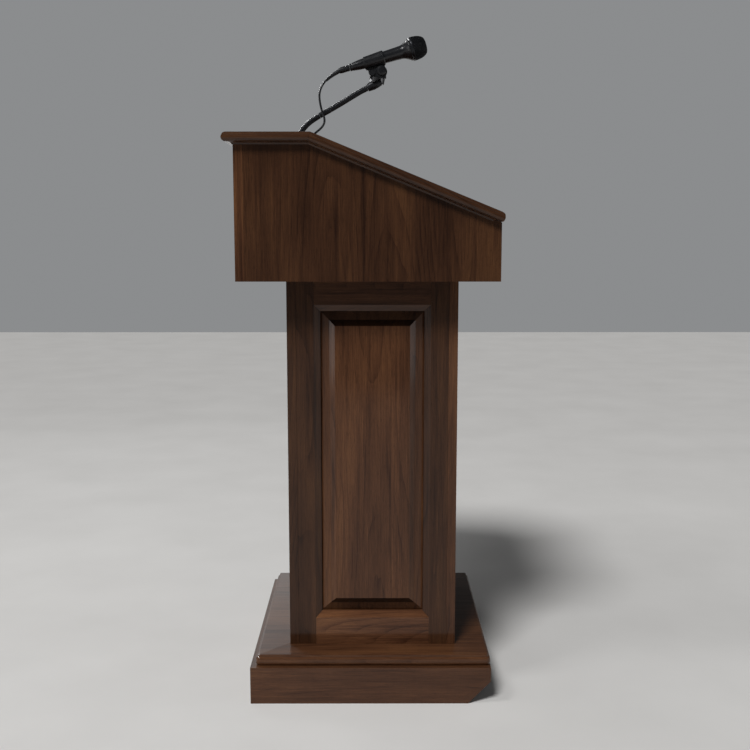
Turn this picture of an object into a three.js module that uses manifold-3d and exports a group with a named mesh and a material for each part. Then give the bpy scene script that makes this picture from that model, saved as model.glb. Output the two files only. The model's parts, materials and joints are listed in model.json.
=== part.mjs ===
// A presentation lectern in walnut: a plinth with a transport axle, a panelled column with an open back,
// a sloped desk with storage under it, and a microphone on a gooseneck with its cable.
// Millimetres. X is the width, +Y points to the speaker, +Z is up. The floor is Z = 0.
import * as THREE from 'three';
import { mergeVertices } from 'three/addons/utils/BufferGeometryUtils.js';
import Module from 'manifold-3d';

// ---------- driving dimensions ----------
const GAP = 0.3; // between pieces that touch
const BOARD = 19; // thickness of the boards

const PLINTH = { halfWidth: 315, front: -244.3, rear: 269, height: 80 };
const HEEL_CUT = { depth: 48, height: 49 }; // the corner taken off for tipping back onto the wheels
const DECK = { halfWidth: 297, front: -227.5, rear: 263, top: 103 }; // the flat top, inside its moulded edge

const COLUMN = { halfWidth: 232.5, front: -164, rear: 197, top: 898 };
const STILE = 37.5; // side face frame, plain width
const FRONT_STILE = 56;
const TOP_RAIL = 52;
const BOTTOM_RAIL = 60;
const CHAMFER = { width: 13.5, depth: 9 };
const REAR_POST = 45;
const SHELF = { z: 500, thickness: 18, cleat: 18 };

const HEAD = { halfWidth: 320, front: -259.9, rear: 275.9, bottom: COLUMN.top };
const TOP = { z: 1192, knee: -106, rear: 284.3, slope: THREE.MathUtils.degToRad(22.15) };
const MOULDING = 21; // how far the edge moulding stands out

const WHEEL = { radius: 22, width: 18, x: 262, y: 217.8, z: 26, bore: 4.25 };
const AXLE_RADIUS = 4;

const NECK_RADIUS = 6.35;
const NECK_FOOT = { y: -147.2, z: 1206 };
const FLANGE = { radius: 28.5, thickness: 5, boss: 13, bossHeight: 8 };
// centreline of the gooseneck in the plane X = 0, as [y, z]
const NECK_ROUTE = [
  [NECK_FOOT.y, NECK_FOOT.z], [NECK_FOOT.y, NECK_FOOT.z + 3], [-145.9, 1214.6], [-142.1, 1222],
  [-133.6, 1232.4], [-124.4, 1240.8], [-108, 1251.8], [-80, 1267.2], [-53.6, 1282.2], [-30, 1296.2],
  [-8.8, 1308.4], [5, 1315],
];
const NECK_JOINTS = [70, 98]; // where the three lengths of the gooseneck meet, along its centreline
const FERRULE = { radius: 10.3, foot: 8.2, length: 34, angle: THREE.MathUtils.degToRad(27) };
const COLLAR = { radius: 16, length: 13, y: 26.5, z: 1325, angle: THREE.MathUtils.degToRad(79), saddle: 4 };

const PIVOT = { y: 36.7, z: 1352.5, bolt: 3 };
const CLIP_BASE = {
  y: 28.7, z: 1330.5, neck: 10.5, disc: 18.8, discZ: 1336, top: 1343.5, ear: 4.6, gap: 4.3, lobe: 9.5,
};
const RIVET = { y: 16.1, z: 1347.4, radius: 6.2, height: 3 }; // holds the ears together behind the pivot
const TONGUE = { half: 4, lobe: 8.5 };

// the microphone's axis starts at its tail and climbs towards its grille
const MIC = { y: -34.3, z: 1359.3, angle: THREE.MathUtils.degToRad(16.2), handle: 141, grille: 26 };
const HOLDER = { start: 33, end: 80, rear: 14, front: 16.4, slot: 11 };
const PLUG_LENGTH = 24;

const CABLE_RADIUS = 2.4;
const GROMMET = { x: 32, y: -125, radius: 8, height: 4 };
// centreline of the cable from the grommet up to the boot, as [x, y, z]
const CABLE_ROUTE = [
  [32, -125, 1196.5], [32, -124.7, 1199.5], [31.3, -122.3, 1204], [30, -117.4, 1208.8],
  [28, -110.9, 1214.6], [26, -105.4, 1219.2], [24, -99.4, 1224.6], [21.2, -93.4, 1231.8],
  [19.2, -90.4, 1239.6], [17.2, -90.5, 1247.8], [15.4, -93.4, 1257.2], [14.2, -96.6, 1266.6],
  [12.6, -99.6, 1279.6], [11, -101.4, 1292.4], [8.8, -101.1, 1303.6], [6, -97.8, 1315.4],
  [3.4, -91.4, 1326.4], [2.2, -87.6, 1331],
];
const CABLE_JOINTS = [34, 72, 110]; // where the four lengths of the cable meet
const BOOT_ROUTE = [[2, -87.2, 1331.5], [1, -78.6, 1338.6], [0.2, -69, 1345.4], [0, -56.6, 1352.8]];

// ---------- materials ----------
function finish(color, roughness, metalness = 0) {
  return new THREE.MeshStandardMaterial({ color, roughness, metalness });
}
const walnut = finish(0x4a2f26, 0.35);
const walnutInside = finish(0x5a3a2c, 0.5);
const steel = finish(0x8d9093, 0.4, 0.9);
const rubber = finish(0x1a1a1b, 0.8);
const neckMetal = finish(0x26272a, 0.4, 0.8);
const chrome = finish(0xc9ccd0, 0.2, 1);
const blackPlastic = finish(0x1d1e20, 0.5);
const micPaint = finish(0x232428, 0.4, 0.3);
const grilleMesh = finish(0x1b1c1e, 0.5, 0.6);

const lectern = new THREE.Group();

// ---------- solids ----------
const wasm = await Module();
wasm.setup();

// One closed indexed mesh with its faces pointing out: merges vertices, drops flat triangles.
function weld(geometry) {
  const bare = geometry.clone();
  bare.deleteAttribute('normal');
  bare.deleteAttribute('uv');
  const merged = mergeVertices(bare, 1e-4);
  const position = merged.attributes.position;
  const kept = [];
  const [a, b, c] = [new THREE.Vector3(), new THREE.Vector3(), new THREE.Vector3()];
  let volume = 0;
  for (let i = 0; i < merged.index.count; i += 3) {
    const corner = [merged.index.getX(i), merged.index.getX(i + 1), merged.index.getX(i + 2)];
    if (new Set(corner).size < 3) continue;
    [a, b, c].forEach((v, k) => v.fromBufferAttribute(position, corner[k]));
    volume += a.dot(b.cross(c));
    kept.push(corner);
  }
  const faces = volume < 0 ? kept.map((t) => [t[0], t[2], t[1]]) : kept;
  merged.setIndex(new THREE.BufferAttribute(new Uint32Array(faces.flat()), 1));
  return merged;
}

function toSolid(geometry) {
  const closed = weld(geometry);
  return new wasm.Manifold(new wasm.Mesh({
    numProp: 3,
    vertProperties: new Float32Array(closed.attributes.position.array),
    triVerts: new Uint32Array(closed.index.array),
  }));
}

function toGeometry(solid) {
  const mesh = solid.getMesh();
  const geometry = new THREE.BufferGeometry();
  geometry.setAttribute('position', new THREE.BufferAttribute(new Float32Array(mesh.vertProperties), 3));
  geometry.setIndex(new THREE.BufferAttribute(new Uint32Array(mesh.triVerts), 1));
  return geometry;
}

const join = (...shapes) => toGeometry(shapes.map(toSolid).reduce((all, next) => all.add(next)));
const cut = (shape, ...tools) => toGeometry(
  tools.map(toSolid).reduce((rest, tool) => rest.subtract(tool), toSolid(shape)),
);

function add(name, geometry, material) {
  const mesh = new THREE.Mesh(weld(geometry), material);
  mesh.name = name;
  lectern.add(mesh);
}

// ---------- shape helpers ----------
function box(x0, x1, y0, y1, z0, z1) {
  const geometry = new THREE.BoxGeometry(x1 - x0, y1 - y0, z1 - z0);
  return geometry.translate((x0 + x1) / 2, (y0 + y1) / 2, (z0 + z1) / 2);
}

// A stack of rectangles, each given by its low and high corner in a and b and its level n.
function stackOfRectangles(levels) {
  const points = levels.flatMap(({ a0, a1, b0, b1, n }) => [a0, b0, n, a1, b0, n, a1, b1, n, a0, b1, n]);
  const faces = [0, 2, 1, 0, 3, 2];
  for (let k = 0; k + 1 < levels.length; k++) {
    for (let i = 0; i < 4; i++) {
      const [p, q] = [4 * k + i, 4 * k + ((i + 1) % 4)];
      faces.push(p, q, q + 4, p, q + 4, p + 4);
    }
  }
  const last = 4 * (levels.length - 1);
  faces.push(last, last + 1, last + 2, last, last + 2, last + 3);
  const geometry = new THREE.BufferGeometry();
  geometry.setAttribute('position', new THREE.Float32BufferAttribute(points, 3));
  geometry.setIndex(faces);
  return geometry;
}

// A section of [u, v] points carried from w0 to w1. shift0 and shift1 are how far each end moves along the
// run for each mm of u and of v, which makes a mitre. place turns (u, v, w) into the lectern's axes.
function strip(section, w0, w1, shift0, shift1, place) {
  const outline = section.map(([u, v]) => new THREE.Vector2(u, v));
  if (THREE.ShapeUtils.isClockWise(outline)) outline.reverse();
  const count = outline.length;
  const end = (w, shift) => outline.flatMap((p) => [p.x, p.y, w + shift[0] * p.x + shift[1] * p.y]);
  const faces = THREE.ShapeUtils.triangulateShape(outline, [])
    .flatMap(([i, j, k]) => [k, j, i, i + count, j + count, k + count]);
  for (let i = 0; i < count; i++) {
    const j = (i + 1) % count;
    faces.push(i, j, j + count, i, j + count, i + count);
  }
  const geometry = new THREE.BufferGeometry();
  const points = [...end(w0, shift0), ...end(w1, shift1)];
  geometry.setAttribute('position', new THREE.Float32BufferAttribute(points, 3));
  geometry.setIndex(faces);
  return geometry.applyMatrix4(place);
}

// The matrix that lays local axes u, v and w along three directions, from an origin.
function placeAxes(u, v, w, origin = [0, 0, 0]) {
  const basis = new THREE.Matrix4().makeBasis(...[u, v, w].map((d) => new THREE.Vector3(...d)));
  return basis.setPosition(...origin);
}

// A flat plate with an outline of [y, z] points, between two X values.
function plateAcross(outline, x0, x1) {
  const shape = new THREE.Shape(outline.map((p) => new THREE.Vector2(...p)));
  const geometry = new THREE.ExtrudeGeometry(shape, { depth: x1 - x0, bevelEnabled: false });
  return geometry.applyMatrix4(placeAxes([0, 1, 0], [0, 0, 1], [1, 0, 0], [x0, 0, 0]));
}

// A turned solid from [radius, height] points. Its axis leaves [x, y, z] along one of the directions below.
const UP = Math.PI / 2;
function turned(points, sides, [x, y, z], angle = UP) {
  const geometry = new THREE.LatheGeometry(points.map((p) => new THREE.Vector2(...p)), sides);
  return geometry.rotateX(angle).translate(x, y, z);
}
function turnedAcross(points, sides, [x, y, z]) {
  const geometry = new THREE.LatheGeometry(points.map((p) => new THREE.Vector2(...p)), sides);
  return geometry.rotateZ(-Math.PI / 2).translate(x, y, z);
}
const rod = (radius, from, to) => [[0, from], [radius, from], [radius, to], [0, to]];

const curveThrough = (route) => (
  new THREE.CatmullRomCurve3(route.map((p) => new THREE.Vector3(...p)), false, 'centripetal')
);
const routeLength = (route) => curveThrough(route).getLength();

// A round tube's solid along part of a route, from one distance to another along it.
function tubeAlong(route, radius, sides, from, to, stepLength) {
  const curve = curveThrough(route);
  const total = curve.getLength();
  const steps = Math.max(4, Math.round((to - from) / stepLength));
  const points = [];
  for (let i = 0; i <= steps; i++) points.push(curve.getPointAt((from + ((to - from) * i) / steps) / total));
  const section = new THREE.Shape();
  for (let i = 0; i < sides; i++) {
    const turn = (2 * Math.PI * i) / sides;
    section[i ? 'lineTo' : 'moveTo'](radius * Math.cos(turn), radius * Math.sin(turn));
  }
  const path = new THREE.CatmullRomCurve3(points, false, 'centripetal');
  return new THREE.ExtrudeGeometry(section, { steps, extrudePath: path, bevelEnabled: false });
}

// ---------- plinth and deck ----------
function buildPlinth() {
  const { halfWidth, front, rear, height } = PLINTH;
  const heel = [[rear + 1, -1], [rear + 1, HEEL_CUT.height + 1], [rear - HEEL_CUT.depth - 1, -1]];
  const board = [[0, 0], [-BOARD, 0], [-BOARD, height], [0, height]]; // u is outward, v is up
  const mitre = [1, 0];
  for (const [side, sign] of [['left', -1], ['right', 1]]) {
    const place = placeAxes([sign, 0, 0], [0, 0, 1], [0, 1, 0], [sign * halfWidth, 0, 0]);
    const whole = strip(board, front + GAP, rear, [-1, 0], [0, 0], place);
    add(`plinth_${side}`, cut(whole, plateAcross(heel, -halfWidth - 1, halfWidth + 1)), walnut);
  }
  const across = placeAxes([0, -1, 0], [0, 0, 1], [1, 0, 0], [0, front, 0]);
  add('plinth_front', strip(board, -halfWidth, halfWidth, [-1, 0], mitre, across), walnut);
  const inside = halfWidth - BOARD - GAP;
  add('plinth_rear', box(-inside, inside, rear - BOARD, rear, HEEL_CUT.height + 1, height), walnut);
}

function buildDeck() {
  // how far the edge stands out of the flat top, against the depth below it
  const foot = DECK.top - PLINTH.height - GAP;
  const edge = [[0, 0], [1, 1.2], [1, 4.6], [3.6, 5.8], [5.5, 8], [6, 10.5], [6, 18], [5.2, 20.6],
    [3.2, foot]];
  const levels = edge.reverse().map(([out, down]) => ({
    a0: -DECK.halfWidth - out,
    a1: DECK.halfWidth + out,
    b0: DECK.front - out,
    b1: DECK.rear + out,
    n: DECK.top - down,
  }));
  add('base_deck', stackOfRectangles(levels), walnut);
}

// A fixed wheel bracket is a plate under the deck with two cheeks that hold the axle.
function buildWheels() {
  const { radius, width, x, y, z, bore } = WHEEL;
  const top = PLINTH.height - GAP;
  const cheek = [[y - 11, top - 3], [y - 11, z - 2], [y - 5, z - 9], [y + 5, z - 9], [y + 11, z - 2],
    [y + 11, top - 3]];
  for (const [side, sign] of [['left', -1], ['right', 1]]) {
    const inner = width / 2 + 2;
    const centre = sign * x;
    const plate = box(centre - 19, centre + 19, y - 22, y + 22, top - 3.5, top);
    const cheeks = [-inner - 3, inner].map((x0) => plateAcross(cheek, centre + x0, centre + x0 + 3));
    const hole = turnedAcross(rod(AXLE_RADIUS + GAP / 2, -30, 30), 24, [centre, y, z]);
    add(`wheel_bracket_${side}`, cut(join(plate, ...cheeks), hole), steel);
    const half = width / 2;
    const tyre = [[bore, -half - 1], [8, -half - 1], [8, -half + 2], [14, -half + 2], [15, -half],
      [radius - 2, -half], [radius, -half + 2.5], [radius, half - 2.5], [radius - 2, half], [15, half],
      [14, half - 2], [8, half - 2], [8, half + 1], [bore, half + 1]];
    add(`wheel_${side}`, turnedAcross([...tyre, tyre[0]], 24, [centre, y, z]), rubber);
  }
  const half = x + width / 2 + 12;
  const axle = [[0, -half], [AXLE_RADIUS - 1, -half], [AXLE_RADIUS, -half + 1], [AXLE_RADIUS, half - 1],
    [AXLE_RADIUS - 1, half], [0, half]];
  add('wheel_axle', turnedAcross(axle, 24, [0, y, z]), steel);
}

// ---------- column ----------
// A face frame of two stiles and two rails with a raised panel. It is drawn flat, with a across, b up and
// n outward from its face, and place turns it into the column's face.
function buildFace(name, a0, a1, stile, place) {
  const [b0, b1] = [DECK.top + GAP, COLUMN.top - GAP];
  const inner = { a0: a0 + stile, a1: a1 - stile, b0: DECK.top + BOTTOM_RAIL, b1: COLUMN.top - TOP_RAIL };
  const { width, depth } = CHAMFER;
  // u runs into the opening, v is outward
  const bevel = [[0, 0], [0, -BOARD], [width, -BOARD], [width, -depth]];
  const flat = (x0, x1, y0, y1) => box(x0, x1, y0, y1, -BOARD, 0);
  const edge = (w0, w1, u, w, origin) => {
    const place = placeAxes(u, [0, 0, 1], w, origin);
    return strip(bevel, w0 + GAP / 2, w1 - GAP / 2, [1, 0], [-1, 0], place);
  };
  const pieces = {
    stile_near: join(
      flat(a0, inner.a0, b0, b1),
      edge(inner.b0, inner.b1, [1, 0, 0], [0, 1, 0], [inner.a0, 0, 0]),
    ),
    stile_far: join(
      flat(inner.a1, a1, b0, b1),
      edge(inner.b0, inner.b1, [-1, 0, 0], [0, 1, 0], [inner.a1, 0, 0]),
    ),
    rail_bottom: join(
      flat(inner.a0 + GAP, inner.a1 - GAP, b0, inner.b0),
      edge(inner.a0 + GAP, inner.a1 - GAP, [0, 1, 0], [1, 0, 0], [0, inner.b0, 0]),
    ),
    rail_top: join(
      flat(inner.a0 + GAP, inner.a1 - GAP, inner.b1, b1),
      edge(inner.a0 + GAP, inner.a1 - GAP, [0, -1, 0], [1, 0, 0], [0, inner.b1, 0]),
    ),
  };
  for (const [piece, shape] of Object.entries(pieces)) {
    add(`${name}_${piece}`, shape.applyMatrix4(place), walnut);
  }
  // the raised panel: how far its outline steps in, against its level
  const steps = [[0, -BOARD + 0.5], [0, -15.5], [10, -12.1], [18, -8.9], [24, -4.9], [30, -0.3], [31, 0]];
  const levels = steps.map(([step, n]) => ({
    a0: inner.a0 + width + GAP + step,
    a1: inner.a1 - width - GAP - step,
    b0: inner.b0 + width + GAP + step,
    b1: inner.b1 - width - GAP - step,
    n,
  }));
  add(`${name}_panel`, stackOfRectangles(levels).applyMatrix4(place), walnut);
}

function buildColumn() {
  const { halfWidth, front, rear, top } = COLUMN;
  const [y0, y1] = [front + BOARD + GAP, rear - BOARD - GAP];
  const right = placeAxes([0, 1, 0], [0, 0, 1], [1, 0, 0], [halfWidth, 0, 0]);
  const left = placeAxes([0, -1, 0], [0, 0, 1], [-1, 0, 0], [-halfWidth, 0, 0]);
  const audience = placeAxes([1, 0, 0], [0, 0, 1], [0, -1, 0], [0, front, 0]);
  buildFace('column_right', y0, y1, STILE, right);
  buildFace('column_left', -y1, -y0, STILE, left);
  buildFace('column_front', -halfWidth, halfWidth, FRONT_STILE, audience);
  for (const [side, sign] of [['left', -1], ['right', 1]]) {
    const xs = [sign * (halfWidth - REAR_POST), sign * halfWidth].sort((p, q) => p - q);
    add(`column_rear_post_${side}`, box(...xs, rear - BOARD, rear, DECK.top + GAP, top - GAP), walnut);
    const wall = halfWidth - BOARD - GAP;
    const cleat = [sign * (wall - SHELF.cleat), sign * wall].sort((p, q) => p - q);
    add(`shelf_cleat_${side}`, box(...cleat, y0 + 20, y1 - 30, SHELF.z - SHELF.cleat, SHELF.z), walnutInside);
  }
  const inside = halfWidth - BOARD - 1;
  const shelf = box(-inside, inside, y0 + 1, y1 - 12, SHELF.z + GAP, SHELF.z + SHELF.thickness);
  add('column_shelf', shelf, walnutInside);
}

// ---------- head ----------
const kneeShift = Math.tan(TOP.slope / 2); // the mitre at the knee, for each mm below the top
const underKnee = TOP.knee - BOARD * kneeShift;
const underside = (y) => TOP.z - BOARD - Math.max(0, y - underKnee) * Math.tan(TOP.slope);
const slopeLength = (TOP.rear - TOP.knee) / Math.cos(TOP.slope);

function buildHead() {
  const { halfWidth, front, rear, bottom } = HEAD;
  const wallTop = TOP.z - BOARD - GAP;
  const outline = [
    [front + BOARD + GAP, bottom], [rear, bottom], [rear, underside(rear) - GAP], [underKnee, wallTop],
    [front + BOARD + GAP, wallTop],
  ];
  add('head_side_right', plateAcross(outline, halfWidth - BOARD, halfWidth), walnut);
  add('head_side_left', plateAcross(outline, -halfWidth, -halfWidth + BOARD), walnut);
  add('head_front', box(-halfWidth, halfWidth, front, front + BOARD, bottom, wallTop), walnut);
  const inside = halfWidth - BOARD - GAP;
  const floor = box(-inside, inside, front + BOARD + GAP, rear - 4, bottom, bottom + BOARD);
  add('head_floor', floor, walnutInside);
}

// The flat top and the reading surface meet in a mitre at the knee.
function buildTop() {
  const { halfWidth, front } = HEAD;
  // u is X, v is up from the top
  const board = [[-halfWidth, 0], [halfWidth, 0], [halfWidth, -BOARD], [-halfWidth, -BOARD]];
  const level = placeAxes([1, 0, 0], [0, 0, 1], [0, 1, 0], [0, TOP.knee, TOP.z]);
  const sloped = placeAxes([1, 0, 0], [0, Math.sin(TOP.slope), Math.cos(TOP.slope)],
    [0, Math.cos(TOP.slope), -Math.sin(TOP.slope)], [0, TOP.knee, TOP.z]);
  const rearMitre = slopeLength - MOULDING - GAP;
  add('top_board', strip(board, front - TOP.knee, -GAP / 2, [0, 0], [0, kneeShift], level), walnut);
  add('reading_surface', strip(board, GAP / 2, rearMitre, [0, -kneeShift], [0, 0], sloped), walnut);

  // edge moulding: rounded top, quirk, bead and a small cove, as [out, up] from the board's top edge
  const nose = [[GAP, 0], [11.5, 0], [15, -0.9], [17.8, -2.8], [19.6, -5.6], [19.3, -6.4], [20.2, -7.2],
    [MOULDING, -10.4]];
  const section = [...nose, [20.5, -13.6], [18.7, -16.6], [15.5, -18.7], [7, -19.2], [4.4, -20.4],
    [2.4, -22.4], [1.6, -24], [GAP, -24]];
  const rearSection = [...nose, [20.9, -13.5], [20.3, -16.4], [19.2, -18.2], [17.8, -18.9], [GAP, -18.9]];
  const mitre = -1;
  for (const [side, sign] of [['left', -1], ['right', 1]]) {
    const out = [sign, 0, 0];
    const flat = placeAxes(out, [0, 0, 1], [0, 1, 0], [sign * halfWidth, TOP.knee, TOP.z]);
    const down = placeAxes(out, [0, Math.sin(TOP.slope), Math.cos(TOP.slope)],
      [0, Math.cos(TOP.slope), -Math.sin(TOP.slope)], [sign * halfWidth, TOP.knee, TOP.z]);
    const frontMitre = front - TOP.knee + GAP;
    const level = strip(section, frontMitre, -GAP / 2, [mitre, 0], [0, kneeShift], flat);
    add(`moulding_${side}_flat`, level, walnut);
    const sloping = strip(section, GAP / 2, rearMitre, [0, -kneeShift], [1, 0], down);
    add(`moulding_${side}_slope`, sloping, walnut);
  }
  const across = placeAxes([0, -1, 0], [0, 0, 1], [1, 0, 0], [0, front, TOP.z]);
  add('moulding_front', strip(section, -halfWidth, halfWidth, [mitre, 0], [-mitre, 0], across), walnut);
  const along = [0, Math.cos(TOP.slope), -Math.sin(TOP.slope)];
  const end = slopeLength - MOULDING;
  const rear = placeAxes(along, [0, Math.sin(TOP.slope), Math.cos(TOP.slope)], [1, 0, 0],
    [0, TOP.knee + end * along[1], TOP.z + end * along[2]]);
  add('moulding_rear', strip(rearSection, -halfWidth, halfWidth, [mitre, 0], [-mitre, 0], rear), walnut);
}

// ---------- gooseneck ----------
function buildGooseneck() {
  const at = [0, NECK_FOOT.y, 0];
  const { radius, thickness, boss, bossHeight } = FLANGE;
  const foot = TOP.z + GAP;
  const plate = foot + thickness;
  const flange = [[0, foot], [radius, foot], [radius, plate - 2], [radius - 2, plate], [boss + 1.5, plate],
    [boss, plate + 1.5], [boss, foot + bossHeight], [0, foot + bossHeight]];
  add('gooseneck_flange', turned(flange, 32, at), neckMetal);
  const seat = foot + bossHeight + GAP;
  const rim = NECK_FOOT.z - 2 * GAP;
  const socket = [[0, seat], [9, seat], [9, NECK_FOOT.z - 3], [7.5, rim], [0, rim]];
  add('gooseneck_base_ferrule', turned(socket, 32, at), neckMetal);

  const route = NECK_ROUTE.map(([y, z]) => [0, y, z]);
  const ends = [0, ...NECK_JOINTS, routeLength(route)];
  ['gooseneck_lower', 'gooseneck_middle', 'gooseneck_upper'].forEach((name, i) => {
    add(name, tubeAlong(route, NECK_RADIUS, 12, ends[i] + GAP / 2, ends[i + 1] - GAP / 2, 5), neckMetal);
  });

  add('gooseneck_tip_ferrule', ferrule(0), neckMetal);
  // the collar sits on the ferrule like a saddle and reaches down over its end
  const { length, angle } = FERRULE;
  const below = box(-2 * COLLAR.radius, 2 * COLLAR.radius, -radius, length + GAP, -radius, COLLAR.saddle);
  const saddle = below.rotateX(angle).translate(0, ...NECK_ROUTE.at(-1));
  add('clip_collar', cut(collar(0), ferrule(GAP), saddle), chrome);
}

// The ferrule and the collar, grown all round when they are used as cutting tools.
function ferrule(grow) {
  const { radius, foot, length, angle } = FERRULE;
  const [y, z] = NECK_ROUTE.at(-1);
  const r = radius + grow;
  const points = [[0, GAP - grow], [foot + grow, GAP - grow], [r, 13], [r, length - 10],
    [r - 1.3, length - 1.6], [r - 2.8, length + grow], [0, length + grow]];
  return turned(points, 20, [0, y, z], angle);
}
function collar(grow) {
  const { radius, length, y, z, angle } = COLLAR;
  const r = radius + grow;
  const points = [[0, -grow], [r - 1, -grow], [r, 1], [r, length - 1], [r - 1, length + grow],
    [0, length + grow]];
  return turned(points, 24, [0, y, z], angle);
}

// ---------- clip and microphone ----------
const onMic = (s, r = 0) => [
  MIC.y + s * Math.cos(MIC.angle) - r * Math.sin(MIC.angle),
  MIC.z + s * Math.sin(MIC.angle) + r * Math.cos(MIC.angle),
];

function buildClip() {
  const { y, z, neck, disc, discZ, top, ear, gap, lobe } = CLIP_BASE;
  const stem = turned(
    [[0, z], [neck, z], [neck, discZ], [disc, discZ], [disc, top], [0, top]],
    32,
    [0, y, 0],
  );
  const sides = [[-2 * disc, -gap - ear], [gap + ear, 2 * disc]]
    .map(([x0, x1]) => box(x0, x1, y - 2 * disc, y + 2 * disc, discZ - 1, top + 1));
  const cheek = [[y - 18, top - 1], [y + 18, top - 1], [PIVOT.y + lobe, PIVOT.z], [PIVOT.y, PIVOT.z],
    [PIVOT.y - 5, PIVOT.z + 8], [y - 9, RIVET.z + 7], [y - 21, RIVET.z + 3]];
  const ears = [[-1, gap, gap + ear], [1, gap, gap + ear]].map(([sign, near, far]) => {
    const [x0, x1] = [sign * near, sign * far].sort((p, q) => p - q);
    const [r0, r1] = [sign * (near + 1), sign * (far + RIVET.height)].sort((p, q) => p - q);
    return join(
      plateAcross(cheek, x0, x1),
      turnedAcross(rod(lobe, x0, x1), 28, [0, PIVOT.y, PIVOT.z]),
      turnedAcross(rod(RIVET.radius, r0, r1), 28, [0, RIVET.y, RIVET.z]),
    );
  });
  const bore = turnedAcross(rod(PIVOT.bolt + GAP / 2, -30, 30), 24, [0, PIVOT.y, PIVOT.z]);
  add('clip_base', cut(join(cut(stem, ...sides), ...ears), collar(GAP), ferrule(GAP), bore), blackPlastic);

  const face = gap + ear + GAP;
  const bolt = [[0, -face - 8], [11.5, -face - 8], [13.2, -face - 6], [13.2, -face - 1], [12.5, -face],
    [PIVOT.bolt, -face], [PIVOT.bolt, face], [10, face], [11, face + 1], [10, face + 3], [6, face + 4.2],
    [0, face + 4.2]];
  add('clip_pivot_bolt', turnedAcross(bolt, 28, [0, PIVOT.y, PIVOT.z]), blackPlastic);
}

// The handle's radius against the distance from its tail.
const HANDLE = [[7.2, 0], [8, 1], [8.4, 6], [9.3, 12], [11.2, 28], [13.1, 80], [14.1, 112], [15.2, 123],
  [19.4, 132], [24, 139], [24, MIC.handle]];
const micAxis = [0, MIC.y, MIC.z];

function buildMicrophone() {
  add('mic_body', turned([[0, 0], ...HANDLE, [0, MIC.handle]], 28, micAxis, MIC.angle), micPaint);
  const start = MIC.handle + GAP;
  const r = MIC.grille;
  const grille = [[0, start], [r - 1.5, start], [r, start + 2], [r, start + 5], [r - 0.8, start + 12],
    [r - 2, start + 20], [r - 4.5, start + 27], [r - 8.5, start + 32.5], [r - 14, start + 35.6],
    [0, start + 36.6]];
  add('mic_grille', turned(grille, 28, micAxis, MIC.angle), grilleMesh);

  const { start: s0, end: s1, rear, front, slot } = HOLDER;
  const outside = [[0, s0], [rear - 0.8, s0], [rear, s0 + 1.5], [front, s1 - 2], [front - 1, s1], [0, s1]];
  const shell = turned(outside, 28, micAxis, MIC.angle);
  const room = HANDLE.map(([radius, s]) => [radius + GAP, s]);
  const inside = turned([[0, -1], ...room, [0, MIC.handle]], 28, micAxis, MIC.angle);
  const mouth = box(-slot / 2, slot / 2, s0 - 1, s1 + 1, 5, 40).rotateX(MIC.angle).translate(...micAxis);
  // the web under the holder runs down between the ears of the clip's base
  const web = [[PIVOT.y - 1, PIVOT.z - 5.5], [PIVOT.y + TONGUE.lobe, PIVOT.z], onMic(78, -13),
    onMic(s0 + 2, -13), [PIVOT.y - 34, PIVOT.z + 1.6], [PIVOT.y - 24, PIVOT.z - 1.6]];
  const tongue = join(
    plateAcross(web, -TONGUE.half, TONGUE.half),
    turnedAcross(rod(TONGUE.lobe, -TONGUE.half, TONGUE.half), 28, [0, PIVOT.y, PIVOT.z]),
  );
  const bore = turnedAcross(rod(PIVOT.bolt + GAP / 2, -30, 30), 24, [0, PIVOT.y, PIVOT.z]);
  add('mic_holder', cut(join(shell, tongue), inside, mouth, bore), blackPlastic);

  const plug = [[0, -GAP], [6.9, -GAP], [6.9, -PLUG_LENGTH + 3], [6.2, -PLUG_LENGTH], [0, -PLUG_LENGTH]];
  const boot = tubeAlong(BOOT_ROUTE, 4, 12, GAP, routeLength(BOOT_ROUTE), 6);
  add('cable_plug', join(turned(plug, 28, micAxis, MIC.angle), boot), blackPlastic);
}

// ---------- cable ----------
function buildCable() {
  const ends = [0, ...CABLE_JOINTS, routeLength(CABLE_ROUTE)];
  for (let i = 0; i + 1 < ends.length; i++) {
    const [from, to] = [ends[i] + GAP / 2, ends[i + 1] - GAP / 2];
    add(`mic_cable_${i + 1}`, tubeAlong(CABLE_ROUTE, CABLE_RADIUS, 8, from, to, 6), rubber);
  }
  const { x, y, radius, height } = GROMMET;
  const foot = TOP.z + GAP;
  const lip = foot + height - GAP;
  const ring = [[0, foot], [radius, foot], [radius, lip - 2], [radius - 2, lip], [0, lip]];
  add('cable_grommet', turned(ring, 24, [x, y, 0]), rubber);
}

buildPlinth();
buildDeck();
buildWheels();
buildColumn();
buildHead();
buildTop();
buildGooseneck();
buildClip();
buildMicrophone();
buildCable();

export default lectern;
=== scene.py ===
"""Looks for a presentation lectern: lacquered walnut, a ribbed gooseneck and a wired microphone.

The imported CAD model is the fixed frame. Boards whose CAD shape is right keep it and get eased edges and a
finish; mouldings, panels, the gooseneck, the microphone and the cable are rebuilt finer here.
Lengths are in millimetres until a mesh is made. X is the width, -Y is the audience's side and +Z is up.
"""

import json
import math

import bpy
import numpy as np
from mathutils import Matrix, Vector

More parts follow.
